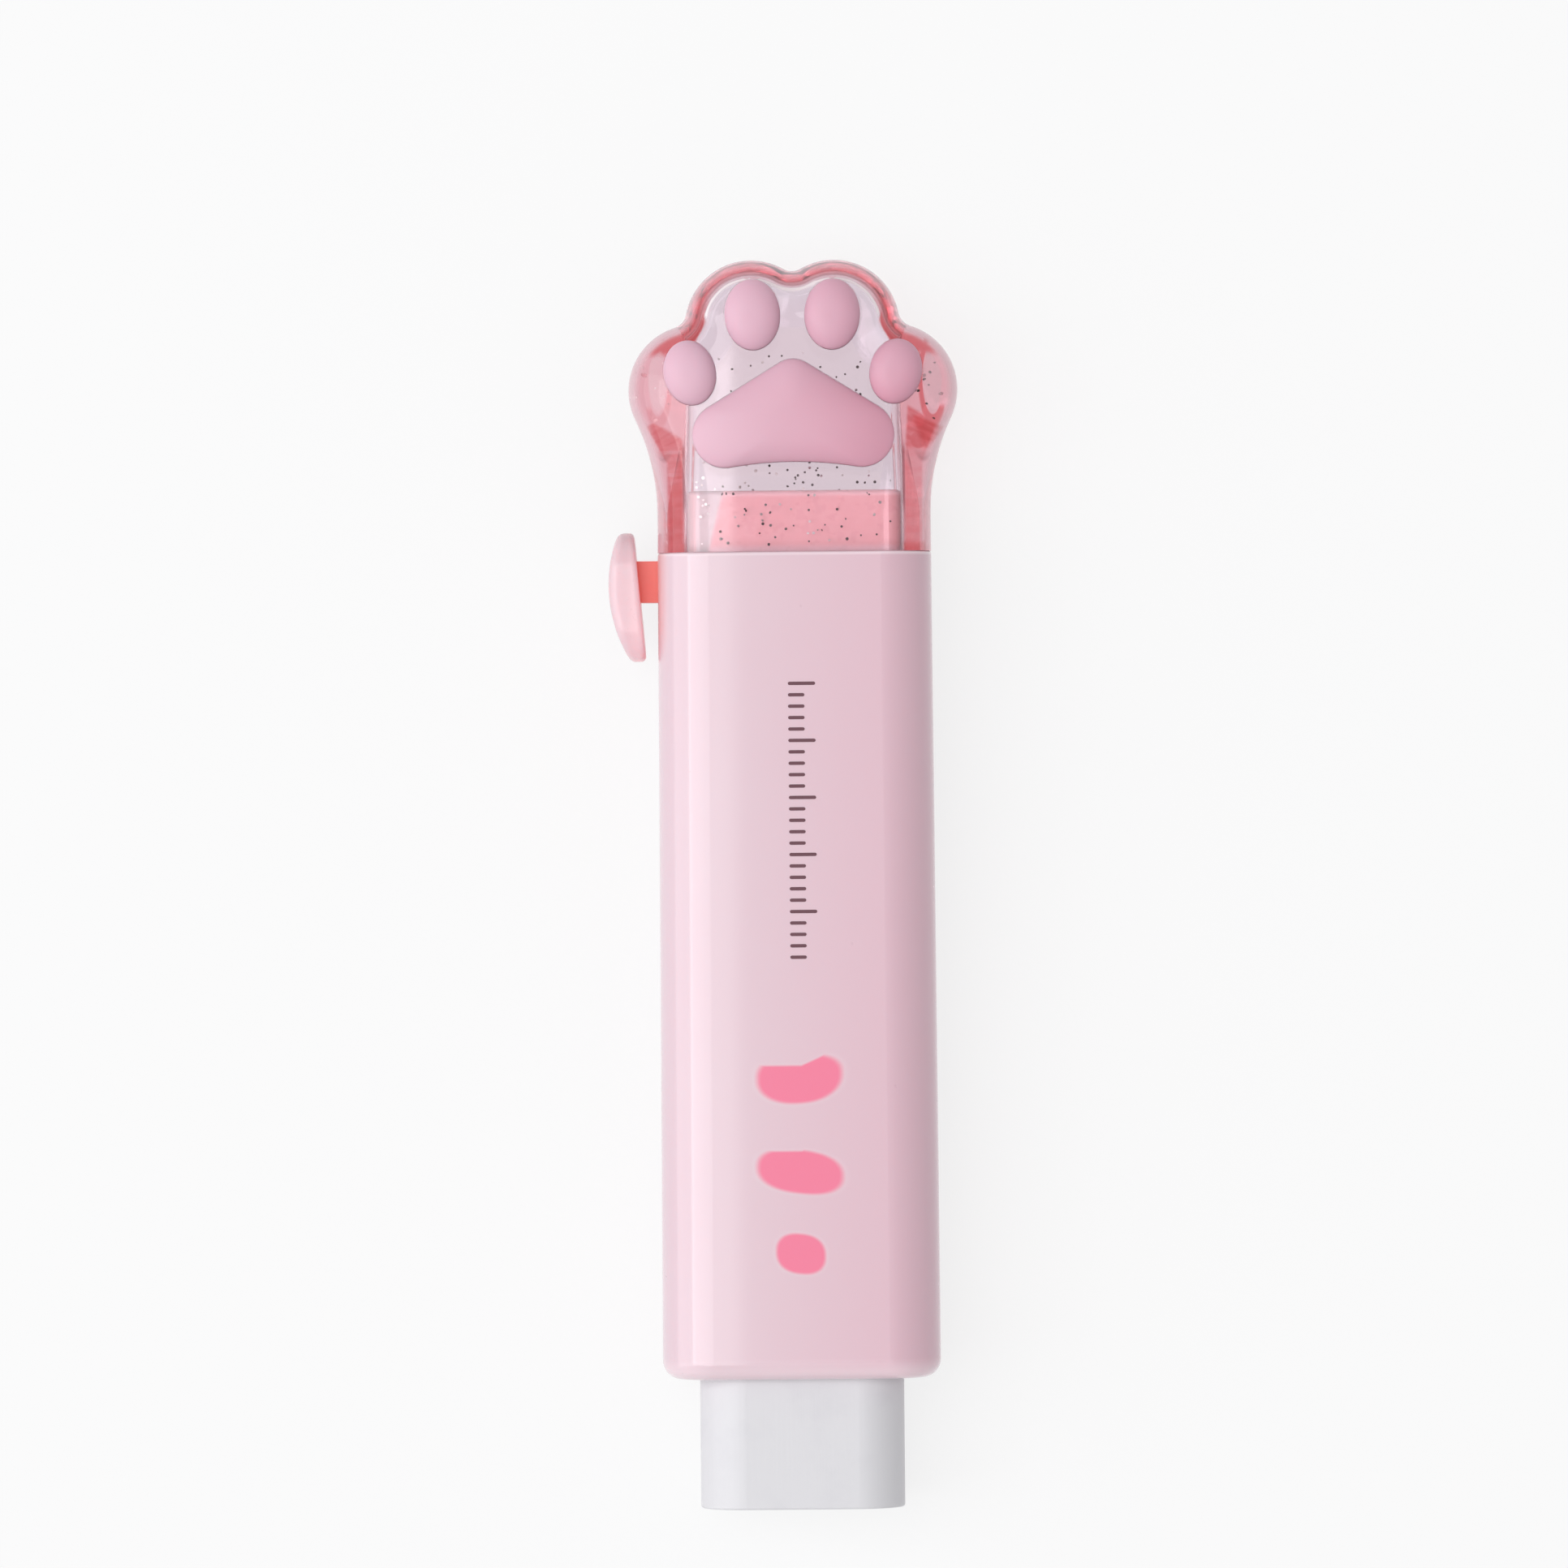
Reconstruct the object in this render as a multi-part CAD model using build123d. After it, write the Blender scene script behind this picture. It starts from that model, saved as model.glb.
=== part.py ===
from build123d import *

import math
import os

# Sliding eraser stick, lying on its back, in millimetres.
#
# A white eraser bar rides in a flat pink case. A thumb button on the left side pushes
# a carrier down inside the case, and the bar comes out of the mouth at the low end.
# A clear paw-shaped cap with five rounded pads closes the other end.
#
# X runs to the right, Y along the stick towards the paw, Z up out of the front face.
# The origin is the middle of the case's flat back face.

# Eraser bar
eraser_width = 18.0
eraser_depth = 10.6
eraser_corner = 4.0
eraser_length = 68.2
eraser_edge = 0.2

# Carrier that holds the bar and slides in the case
grip_clearance = 0.1
jaw_wall = 1.15
jaw_face_wall = 0.55
jaw_length = 6.0
jaw_window = 9.0
platform_thickness = 2.0
arm_thickness = 1.2
finger_length = 8.0
finger_thickness = 1.0
finger_width = 2.6
nose_radius = 0.5
nose_from_tip = 0.9
finger_tip_gap = 1.0

# Stem that joins the carrier to the thumb button
stem_height = 3.65
stem_width = 3.4
stem_below_rim = 0.65
slide_clearance = 0.2

# Travel and click stops
travel = 48.0
click_pitch = 2.0
click_depth = 0.3
click_clearance = 0.1
click_row_side_gap = 0.2
nose_clearance = 0.05
low_stop_gap = 0.7

# Case
carrier_clearance = 0.15
case_wall = 1.65
case_corner = 4.5
case_draft = 0.2
mouth_wall = 2.0
mouth_clearance = 0.2
mouth_round = 1.6
mouth_lip = 0.3
rim_round = 0.25

# Plug between case and cap
skirt_depth = 5.0
plug_clearance = 0.05
plug_wall = 1.5
plug_top = 1.5
spigot_height = 5.4
spigot_clearance = 0.1
spigot_round = 0.4
notch_clearance = 0.3

# Clear cap, an outline of four toe lobes on a neck
lobe_radius = 5.85
inner_lobe_x = 3.64
inner_lobe_y = 19.88
outer_lobe_y = 14.27
outer_lobe_overhang = 2.45
lobe_notch_round = 1.5
flare_radius = 19.0
cap_side_wall = 2.6
cap_face_wall = 2.4
cap_top_wall = 1.4
cap_cavity_round = 1.2

# Pads set in the cap's front
pad_recess = 1.1
pad_rise = 1.0
pad_clearance = 0.05
pad_round = 1.5
inner_toe_half_width = 2.45
inner_toe_half_height = 3.1
inner_toe_inside_lobe = 0.14
inner_toe_above_lobe = 0.87
inner_toe_lean = 2.0
outer_toe_half_width = 2.3
outer_toe_half_height = 2.85
outer_toe_outside_lobe = 0.38
outer_toe_above_lobe = 1.43
outer_toe_lean = 11.0
palm_apex_y = 14.6
palm_apex_radius = 2.25
palm_lobe_x = 6.0
palm_lobe_y = 10.2
palm_lobe_radius = 2.85
palm_arch = 0.5

# Thumb button
button_above_stem = 2.5
button_length = 11.35
button_gap_top = 2.1
button_gap_low = 1.1
button_end_thickness = 1.35
button_crown = 1.35
button_width = 9.0
button_plan_round = 3.2
button_outer_round = 0.75
button_inner_round = 0.45
socket_depth = 1.0
socket_clearance = 0.05

# Every cut runs this far past the face that it opens.
overrun = 1.0

# Places that follow from the sizes above
pocket_width = eraser_width + 2 * grip_clearance
pocket_depth = eraser_depth + 2 * grip_clearance
carrier_width = pocket_width + 2 * jaw_wall
carrier_depth = pocket_depth + 2 * jaw_face_wall
bore_width = carrier_width + 2 * carrier_clearance
bore_depth = carrier_depth + 2 * carrier_clearance
bore_corner = case_corner - case_wall
carrier_corner = bore_corner - carrier_clearance
case_width = bore_width + 2 * case_wall
case_depth = bore_depth + 2 * case_wall
seat_below_rim = skirt_depth + finger_tip_gap + finger_length + platform_thickness
case_length = seat_below_rim + travel + jaw_length + low_stop_gap + mouth_wall
mid_z = case_depth / 2
rim_y = case_length / 2
mouth_y = -case_length / 2
seat_y = rim_y - seat_below_rim
platform_top_y = seat_y + platform_thickness
skirt_low_y = rim_y - skirt_depth
stem_top_y = rim_y - stem_below_rim
stem_low_y = stem_top_y - stem_height
nose_y = platform_top_y + finger_length - nose_from_tip
case_side = case_width / 2


def section(width, depth, corner, y):
    """Rounded rectangle across the stick at height y, facing along +Y."""
    plane = Plane(origin=(0, y, mid_z), x_dir=(1, 0, 0), z_dir=(0, 1, 0))
    return plane * RectangleRounded(width, depth, corner)


def bar(width, depth, corner, low_y, high_y):
    """Rounded bar along the stick, centred on its middle line."""
    return extrude(section(width, depth, corner, low_y), amount=high_y - low_y)


def block(low, high):
    """Plain box between two opposite corners."""
    size = [b - a for a, b in zip(low, high)]
    middle = [(a + b) / 2 for a, b in zip(low, high)]
    return Pos(*middle) * Box(*size)


def edges_at_y(shape, y, reach):
    """Edges that lie flat in the plane at height y, out to reach from the middle line."""
    flat = shape.edges().filter_by_position(Axis.Y, y, y)
    return [edge for edge in flat if abs(edge.center().X) <= reach]


def front_and_back_edges(shape, back_z, front_z):
    """Edges round the back and front faces of a flat shape, but for those across its open foot."""
    back = shape.edges().filter_by_position(Axis.Z, back_z, back_z)
    front = shape.edges().filter_by_position(Axis.Z, front_z, front_z)
    return [edge for edge in [*back, *front] if edge.center().Y > rim_y]


def case_block():
    """The case before it is hollowed: flat faces, a little wider at the mouth, with round long edges."""
    rim_right = (case_side, rim_y)
    mouth_right = (case_side + case_draft, mouth_y)
    mouth_left = (-case_side - case_draft, mouth_y)
    rim_left = (-case_side, rim_y)
    plan = make_face(Polyline(rim_right, mouth_right, mouth_left, rim_left, close=True))
    solid = extrude(plan, amount=case_depth, dir=(0, 0, 1))
    ends_left_out = (False, False)
    long_edges = solid.edges().filter_by_position(Axis.Y, mouth_y, rim_y, inclusive=ends_left_out)
    return fillet(long_edges, case_corner)


def case_shell():
    """Pink tube with a mouth, a slot for the stem and a row of click notches."""
    shell = case_block()
    shell = fillet(edges_at_y(shell, mouth_y, case_width), mouth_round)
    shell = fillet(edges_at_y(shell, rim_y, case_width), rim_round)
    floor_y = mouth_y + mouth_wall
    shell -= bar(bore_width, bore_depth, bore_corner, floor_y, rim_y + overrun)
    mouth_width = eraser_width + 2 * mouth_clearance
    mouth_depth = eraser_depth + 2 * mouth_clearance
    mouth_corner = eraser_corner + mouth_clearance
    shell -= bar(mouth_width, mouth_depth, mouth_corner, mouth_y - overrun, floor_y + overrun)
    lip = [edge for edge in edges_at_y(shell, mouth_y, mouth_width / 2)
           if abs(edge.center().Z - mid_z) <= mouth_depth / 2 + mouth_lip]
    shell = fillet(lip, mouth_lip)

    half_slot = stem_width / 2 + slide_clearance
    slot_low_y = stem_low_y - travel - slide_clearance
    shell -= block(
        (-case_side - case_draft - overrun, slot_low_y, mid_z - half_slot),
        (-bore_width / 2 + overrun, rim_y + overrun, mid_z + half_slot),
    )

    notch_radius = nose_radius + click_clearance
    notch_x = bore_width / 2 + click_depth - notch_radius
    row_width = finger_width + 2 * click_row_side_gap
    for stop in range(int(round(travel / click_pitch)) + 1):
        notch = Cylinder(notch_radius, row_width)
        shell -= Pos(notch_x, nose_y - stop * click_pitch, mid_z) * notch
    return shell


def carrier():
    """Coral slide: jaws round the bar, a seat behind it, the arm with the stem, and a click finger.

    The springy finger is drawn pressed in, as it is when its nose rides over the case's wall.
    """
    body = bar(carrier_width, carrier_depth, carrier_corner, seat_y - jaw_length, platform_top_y)
    body -= bar(
        pocket_width,
        pocket_depth,
        eraser_corner + grip_clearance,
        seat_y - jaw_length - overrun,
        seat_y,
    )
    body -= block(
        (-jaw_window / 2, seat_y - jaw_length - overrun, mid_z - carrier_depth),
        (jaw_window / 2, seat_y, mid_z + carrier_depth),
    )
    outside = carrier_width / 2
    body += block(
        (-outside, seat_y, mid_z - stem_width / 2),
        (-outside + arm_thickness, stem_top_y, mid_z + stem_width / 2),
    )
    body += block(
        (-case_side - stem_reach(), stem_low_y, mid_z - stem_width / 2),
        (-outside + arm_thickness, stem_top_y, mid_z + stem_width / 2),
    )
    nose_x = bore_width / 2 - nose_clearance - nose_radius
    body += block(
        (nose_x - finger_thickness, seat_y, mid_z - finger_width / 2),
        (nose_x, platform_top_y + finger_length, mid_z + finger_width / 2),
    )
    body += Pos(nose_x, nose_y, mid_z) * Cylinder(nose_radius, finger_width)
    return body


def button_gap(y):
    """Distance from the case's side to the button's inner face at height y."""
    top = stem_top_y + button_above_stem
    share = (top - y) / button_length
    return button_gap_top + (button_gap_low - button_gap_top) * share


def stem_reach():
    """How far the stem's end stands out from the case's side, down in the button's socket."""
    return button_gap((stem_top_y + stem_low_y) / 2) + socket_depth


def thumb_button():
    """Pink thumb pad with a crowned outer face, pressed on the end of the stem."""
    top = stem_top_y + button_above_stem
    low = top - button_length
    inner_top = (-case_side - button_gap_top, top)
    inner_low = (-case_side - button_gap_low, low)
    outer_top = (inner_top[0] - button_end_thickness, top)
    outer_low = (inner_low[0] - button_end_thickness, low)
    crown = ((outer_top[0] + outer_low[0]) / 2 - button_crown, (top + low) / 2)
    outline = Curve() + [
        Line(inner_low, inner_top),
        Line(inner_top, outer_top),
        ThreePointArc(outer_top, crown, outer_low),
        Line(outer_low, inner_low),
    ]
    pad = extrude(Pos(0, 0, mid_z) * make_face(outline), amount=button_width / 2, both=True)
    middle_x = (inner_top[0] + inner_low[0]) / 2 - button_end_thickness
    side_on = Plane(origin=(middle_x, (top + low) / 2, mid_z), x_dir=(0, 1, 0), z_dir=(1, 0, 0))
    plan = side_on * RectangleRounded(button_length, button_width, button_plan_round)
    pad &= extrude(plan, amount=button_end_thickness + button_crown + button_gap_top, both=True)
    faces = pad.faces().sort_by(Axis.X)
    pad = fillet(faces[0].edges(), button_outer_round)
    inner_face = pad.faces().filter_by(GeomType.PLANE).sort_by(Axis.X)[-1]
    pad = fillet(inner_face.edges(), button_inner_round)
    half_socket = stem_width / 2 + socket_clearance
    pad -= block(
        (-case_side - stem_reach(), stem_low_y - socket_clearance, mid_z - half_socket),
        (-case_side, stem_top_y + socket_clearance, mid_z + half_socket),
    )
    return pad


def eraser_bar():
    """White bar that seats on the carrier and stands out of the mouth."""
    stick = bar(eraser_width, eraser_depth, eraser_corner, seat_y - eraser_length, seat_y)
    return fillet(edges_at_y(stick, seat_y - eraser_length, eraser_width), eraser_edge)


def cap_cavity_sizes():
    """Width and depth of the cap's inside, which the plug's spigot fits."""
    return case_width - 2 * cap_side_wall, case_depth - 2 * cap_face_wall


def plug():
    """Hollow pink stopper: its skirt goes down in the case and its spigot up in the cap."""
    skirt_width = bore_width - 2 * plug_clearance
    skirt_thick = bore_depth - 2 * plug_clearance
    body = bar(skirt_width, skirt_thick, bore_corner - plug_clearance, skirt_low_y, rim_y)
    cavity_width, cavity_depth = cap_cavity_sizes()
    spigot_width = cavity_width - 2 * spigot_clearance
    spigot_thick = cavity_depth - 2 * spigot_clearance
    spigot_corner = cap_cavity_round - spigot_clearance
    top_y = rim_y + spigot_height
    spigot = bar(spigot_width, spigot_thick, spigot_corner, rim_y - plug_wall, top_y)
    spigot = fillet(edges_at_y(spigot, top_y, spigot_width), spigot_round)
    body += spigot
    core_width = spigot_width - 2 * plug_wall
    core_thick = spigot_thick - 2 * plug_wall
    core_corner = spigot_corner / 2
    body -= bar(core_width, core_thick, core_corner, skirt_low_y - overrun, top_y - plug_top)
    arm_inside = -carrier_width / 2 + arm_thickness
    half_notch = stem_width / 2 + notch_clearance
    body -= block(
        (-bore_width / 2 - overrun, skirt_low_y - overrun, mid_z - half_notch),
        (arm_inside + notch_clearance, stem_top_y + notch_clearance, mid_z + half_notch),
    )
    return body


def lobe_centres():
    """Centres of the right-hand outer and inner toe lobes."""
    outer = Vector(case_side + outer_lobe_overhang - lobe_radius, rim_y + outer_lobe_y)
    inner = Vector(inner_lobe_x, rim_y + inner_lobe_y)
    return outer, inner


def beside_two(one, other, reach_one, reach_other):
    """Point on the left of the way from one to other, reach_one from one and reach_other from other."""
    way = other - one
    along = (way.length**2 + reach_one**2 - reach_other**2) / (2 * way.length)
    across = math.sqrt(reach_one**2 - along**2)
    unit = way.normalized()
    return one + unit * along + Vector(-unit.Y, unit.X) * across


def arc_round(centre, start, end):
    """The shorter arc about centre from start to end."""
    radius = (start - centre).length
    middle = centre + ((start - centre) + (end - centre)).normalized() * radius
    return ThreePointArc(start, middle, end)


def mirrored(points):
    """The same points on the other side of the middle line."""
    return [Vector(-point.X, point.Y) for point in points]


def notch_centres():
    """Centres of the rounds in the right-hand side notch and in the top notch."""
    outer, inner = lobe_centres()
    near = lobe_radius + lobe_notch_round
    side = beside_two(inner, outer, near, near)
    top = Vector(0, inner.Y + math.sqrt(near**2 - inner.X**2))
    return side, top


def on_the_way(centre, other, radius):
    """Point at radius from centre on the way to other."""
    return centre + (other - centre).normalized() * radius


def two_sided_face(foot, wall_top, arcs, inset):
    """Face that mirrors a straight wall and its arcs, and runs on over the inner lobes, drawn in by inset.

    Each arc is its centre, start and end. The last one ends where the side notch begins.
    """
    inner = lobe_centres()[1]
    side_notch, top_notch = notch_centres()
    radius = lobe_radius - inset
    notch_start = arcs[-1][2] if arcs else wall_top
    notch_end = on_the_way(inner, side_notch, radius)
    lobe_top = Vector(inner.X, inner.Y + radius)
    lobe_end = on_the_way(inner, top_notch, radius)
    arcs = [
        *arcs,
        (side_notch, notch_start, notch_end),
        (inner, notch_end, lobe_top),
        (inner, lobe_top, lobe_end),
    ]
    edges = [Line(foot, wall_top), Line(*mirrored([foot, wall_top]))]
    edges += [arc_round(*arc) for arc in arcs] + [arc_round(*mirrored(arc)) for arc in arcs]
    edges.append(arc_round(top_notch, lobe_end, *mirrored([lobe_end])))
    edges.append(Line(foot, *mirrored([foot])))
    return make_face(Curve() + edges)


def paw_outline():
    """Face of a neck, two flares and four toe lobes with rounded notches between them."""
    outer, inner = lobe_centres()
    side_notch = notch_centres()[0]
    touch = lobe_radius + flare_radius
    flare_x = case_side + flare_radius
    flare_y = outer.Y - math.sqrt(touch**2 - (flare_x - outer.X) ** 2)
    flare = Vector(flare_x, flare_y)
    neck_top = Vector(case_side, flare_y)
    flare_end = on_the_way(outer, flare, lobe_radius)
    lobe_far = Vector(outer.X + lobe_radius, outer.Y)
    notch_start = on_the_way(outer, side_notch, lobe_radius)
    arcs = [
        (flare, neck_top, flare_end),
        (outer, flare_end, lobe_far),
        (outer, lobe_far, notch_start),
    ]
    return two_sided_face(Vector(case_side, rim_y), neck_top, arcs, 0)


def cap_cavity():
    """Inside of the cap: straight walls up from its foot, and the inner lobes drawn in by the top wall."""
    width, depth = cap_cavity_sizes()
    side_notch = notch_centres()[0]
    notch_radius = lobe_notch_round + cap_top_wall
    drop = math.sqrt(notch_radius**2 - (side_notch.X - width / 2) ** 2)
    shoulder = Vector(width / 2, side_notch.Y - drop)
    inside = two_sided_face(Vector(width / 2, rim_y), shoulder, [], cap_top_wall)
    cavity = Pos(0, 0, cap_face_wall) * extrude(inside, amount=depth)
    return fillet(front_and_back_edges(cavity, cap_face_wall, cap_face_wall + depth), cap_cavity_round)


def toe(centre, half_width, half_height, lean):
    """Egg-shaped toe outline that leans outwards by lean degrees."""
    turn = -lean if centre.X > 0 else lean
    return Pos(centre.X, centre.Y) * Rot(0, 0, turn) * Ellipse(half_width, half_height)


def tangent_end(centre, radius, other, other_radius):
    """Where the outer tangent of two circles touches the first, on the left of the way to the other."""
    way = other - centre
    lean = math.asin((radius - other_radius) / way.length)
    unit = way.normalized()
    left = Vector(-unit.Y, unit.X)
    return centre + (left * math.cos(lean) + unit * math.sin(lean)) * radius


def palm(grow):
    """Rounded triangle of the palm pad, grown all round by grow."""
    apex = Vector(0, rim_y + palm_apex_y)
    lobe = Vector(palm_lobe_x, rim_y + palm_lobe_y)
    apex_radius = palm_apex_radius + grow
    side_radius = palm_lobe_radius + grow
    arch_radius = (palm_lobe_x**2 + palm_arch**2) / (2 * palm_arch) - side_radius
    arch = Vector(0, lobe.Y - side_radius + palm_arch - arch_radius)
    shoulder = tangent_end(apex, apex_radius, lobe, side_radius)
    way_back = tangent_end(lobe, side_radius, apex, apex_radius)
    cheek = lobe + (shoulder - apex).normalized() * side_radius
    under = lobe + (arch - lobe).normalized() * side_radius
    side = Vector(lobe.X + side_radius, lobe.Y)
    edges = [
        arc_round(apex, mirrored([shoulder])[0], shoulder),
        Line(shoulder, cheek),
        Line(*mirrored([shoulder, cheek])),
        arc_round(arch, under, mirrored([under])[0]),
    ]
    right_lobe = [lobe, cheek, side, under]
    for centre, start, middle, end in (right_lobe, mirrored(right_lobe)):
        edges += [arc_round(centre, start, middle), arc_round(centre, middle, end)]
    return make_face(Curve() + edges)


def pad_outlines(grow):
    """Outline of each pad by name, grown all round by grow. Each toe sits in the middle of its lobe."""
    outer_lobe, inner_lobe = lobe_centres()
    outer = outer_lobe + Vector(outer_toe_outside_lobe, outer_toe_above_lobe)
    inner = inner_lobe + Vector(-inner_toe_inside_lobe, inner_toe_above_lobe)
    outer_form = (outer_toe_half_width + grow, outer_toe_half_height + grow, outer_toe_lean)
    inner_form = (inner_toe_half_width + grow, inner_toe_half_height + grow, inner_toe_lean)
    return {
        "toe_pad_outer_left": toe(*mirrored([outer]), *outer_form),
        "toe_pad_inner_left": toe(*mirrored([inner]), *inner_form),
        "toe_pad_inner_right": toe(inner, *inner_form),
        "toe_pad_outer_right": toe(outer, *outer_form),
        "palm_pad": palm(grow),
    }


def paw_cap():
    """Clear paw-shaped cap, hollow from its open foot, with a shallow seat for each pad."""
    body = extrude(paw_outline(), amount=case_depth)
    body = fillet(front_and_back_edges(body, 0, case_depth), case_corner)
    body -= cap_cavity()
    for outline in pad_outlines(pad_clearance).values():
        body -= Pos(0, 0, case_depth - pad_recess) * extrude(outline, amount=pad_recess + overrun)
    return body


def pads():
    """The five opaque pads, each a rounded pillow standing on the floor of its seat."""
    made = {}
    for name, outline in pad_outlines(0).items():
        pad = Pos(0, 0, case_depth - pad_recess) * extrude(outline, amount=pad_recess + pad_rise)
        made[name] = fillet(pad.faces().sort_by(Axis.Z)[-1].edges(), pad_round)
    return made


parts = {
    "case_shell": case_shell(),
    "plug": plug(),
    "paw_cap": paw_cap(),
    **pads(),
    "carrier": carrier(),
    "thumb_button": thumb_button(),
    "eraser_bar": eraser_bar(),
}

os.makedirs("parts", exist_ok=True)
for name, shape in parts.items():
    export_step(shape, f"parts/{name}.step")
    box = shape.bounding_box()
    print(name, len(shape.solids()), round(shape.volume, 1), [round(v, 2) for v in (*box.min, *box.max)])
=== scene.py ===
"""Looks of a sliding eraser stick that lies on its back on a pale floor.

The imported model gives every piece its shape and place. This script gives the pieces their finish,
adds the print on the case and the glitter in the cap, and sets the floor, the light and the camera.
It follows the stick as it is put together: case, print, plug, cap, glitter, pads, slide, button, bar.
"""

import math

import bpy
import numpy as np
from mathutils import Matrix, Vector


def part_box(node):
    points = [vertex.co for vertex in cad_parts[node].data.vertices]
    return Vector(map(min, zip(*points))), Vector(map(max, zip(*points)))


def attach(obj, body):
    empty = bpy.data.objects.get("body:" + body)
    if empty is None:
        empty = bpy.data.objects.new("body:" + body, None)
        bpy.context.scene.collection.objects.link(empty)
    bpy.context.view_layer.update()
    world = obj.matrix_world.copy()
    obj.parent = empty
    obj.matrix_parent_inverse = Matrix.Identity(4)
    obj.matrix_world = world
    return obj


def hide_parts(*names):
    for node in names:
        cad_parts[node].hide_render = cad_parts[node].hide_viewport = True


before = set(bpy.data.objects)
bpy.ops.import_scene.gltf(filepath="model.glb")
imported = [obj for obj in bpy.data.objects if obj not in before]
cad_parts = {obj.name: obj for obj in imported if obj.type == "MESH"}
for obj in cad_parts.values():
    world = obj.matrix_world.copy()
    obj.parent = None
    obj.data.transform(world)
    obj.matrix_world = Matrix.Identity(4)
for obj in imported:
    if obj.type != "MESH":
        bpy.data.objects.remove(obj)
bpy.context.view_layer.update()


# Case
# A tube of glossy pink plastic, moulded in one shot. Painted shade makes it a little deeper to the right,
# away from the light, and painted highlights make it paler at its thin lips. A painted coral glow, the
# slide's light on its edge beside the slot, stays there when the slide moves. Three soft-edged stripes are
# pad-printed low on its front, each over a paler base coat that shows as a thin halo.
MM = 0.001


class Wire:
    """A socket of a node tree, or the tree alone.

    Sums written with it add Math nodes, and node() adds any other node.
    """

    def __init__(self, tree, socket=None):
        self.tree = tree
        self.socket = socket

    def node(self, kind, settings=None, sockets=None, out=0):
        """Adds a node of this kind and returns its socket out.

        Its settings are made first, then its sockets get their values or links.
        """
        made = self.tree.nodes.new(kind)
        for name, value in (settings or {}).items():
            setattr(made, name, value)
        for key, value in (sockets or {}).items():
            if isinstance(value, Wire):
                self.tree.links.new(value.socket, made.inputs[key])
            else:
                made.inputs[key].default_value = value
        return Wire(self.tree, made.outputs[out]) if len(made.outputs) else None

    def sum(self, operation, *values):
        """One Math node over these values."""
        return self.node("ShaderNodeMath", {"operation": operation}, dict(enumerate(values)))

    def __add__(self, other):
        return self.sum("ADD", self, other)

    def __sub__(self, other):
        return self.sum("SUBTRACT", self, other)

    def __mul__(self, other):
        return self.sum("MULTIPLY", self, other)

    def __truediv__(self, other):
        return self.sum("DIVIDE", self, other)

    def __pow__(self, other):
        return self.sum("POWER", self, other)

    def __abs__(self):
        return self.sum("ABSOLUTE", self)

    def __rsub__(self, other):
        return self.sum("SUBTRACT", other, self)

    __radd__ = __add__
    __rmul__ = __mul__

    def part(self, axis):
        """One part of a vector, X, Y or Z."""
        return self.node("ShaderNodeSeparateXYZ", {}, {0: self}, axis)

    def most(self, other):
        """The larger of this and the other."""
        return self.sum("MAXIMUM", self, other)

    def least(self, other):
        """The smaller of this and the other."""
        return self.sum("MINIMUM", self, other)

    def sine(self):
        """The sine of this as an angle in radians."""
        return self.sum("SINE", self)

    def step(self, low, high):
        """0 where this is under low, 1 where it is over high, and smooth between."""
        sockets = {"Value": self, "From Min": low, "From Max": high}
        return self.node("ShaderNodeMapRange", {"interpolation_type": "SMOOTHSTEP"}, sockets)

    def between(self, colour, other):
        """Colour where this is 0 and the other where it is 1."""
        return self.node("ShaderNodeMix", {"data_type": "RGBA"}, {0: self, 6: colour, 7: other}, 2)


def srgb(red, green, blue):
    """A colour as a screen shows it, from 0 to 255, as the linear colour that a shader takes."""
    share = np.array([red, green, blue]) / 255
    linear = np.where(share <= 0.04045, share / 12.92, ((share + 0.055) / 1.055) ** 2.4)
    return (*linear.tolist(), 1.0)


def start(name):
    """A new empty material, its node tree and the surface's place on the object in millimetres."""
    material = bpy.data.materials.new(name)
    material.use_nodes = True
    material.node_tree.nodes.clear()
    tree = Wire(material.node_tree)
    place = tree.node("ShaderNodeTexCoord", out="Object")
    in_mm = tree.node("ShaderNodeVectorMath", {"operation": "SCALE"}, {0: place, "Scale": 1 / MM})
    return material, tree, in_mm


def noise(place, scale, detail):
    """Soft noise from 0 to 1 with about scale grains to the millimetre."""
    return place.node("ShaderNodeTexNoise", {}, {"Vector": place, "Scale": scale, "Detail": detail})


def stretched(place, scales):
    """The place with each axis scaled, so that noise over it is drawn out along the least scaled axis."""
    return place.node("ShaderNodeMapping", {}, {"Vector": place, "Scale": scales})


def close(tree, shader):
    """Joins the shader to the material's output."""
    tree.node("ShaderNodeOutputMaterial", {}, {"Surface": shader})


def relief(height, depth):
    """Normal of a surface whose height from 0 to 1 stands for this depth in metres."""
    return height.node("ShaderNodeBump", {}, {"Height": height, "Strength": 1.0, "Distance": depth})


def dress(node, material):
    """Gives a carried-over piece its material."""
    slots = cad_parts[node].data.materials
    slots.clear()
    slots.append(material)


case_low, case_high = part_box("case_shell")
case_left = case_low[0] / MM
mouth_y = case_low[1] / MM
rim_y = case_high[1] / MM
case_front = case_high[2] / MM
lit_side_pink = srgb(231, 205, 215)
shaded_side_pink = srgb(225, 183, 197)
pink_flow = srgb(225, 189, 202)
highlight_pink = srgb(250, 226, 234)
painted_slot_glow = srgb(252, 204, 204)
stripe_pink = srgb(246, 116, 152)
stripe_base = srgb(247, 226, 233)
climb_from = 0.2
climb = 0.45
lid_sharpness = 1.6


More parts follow.
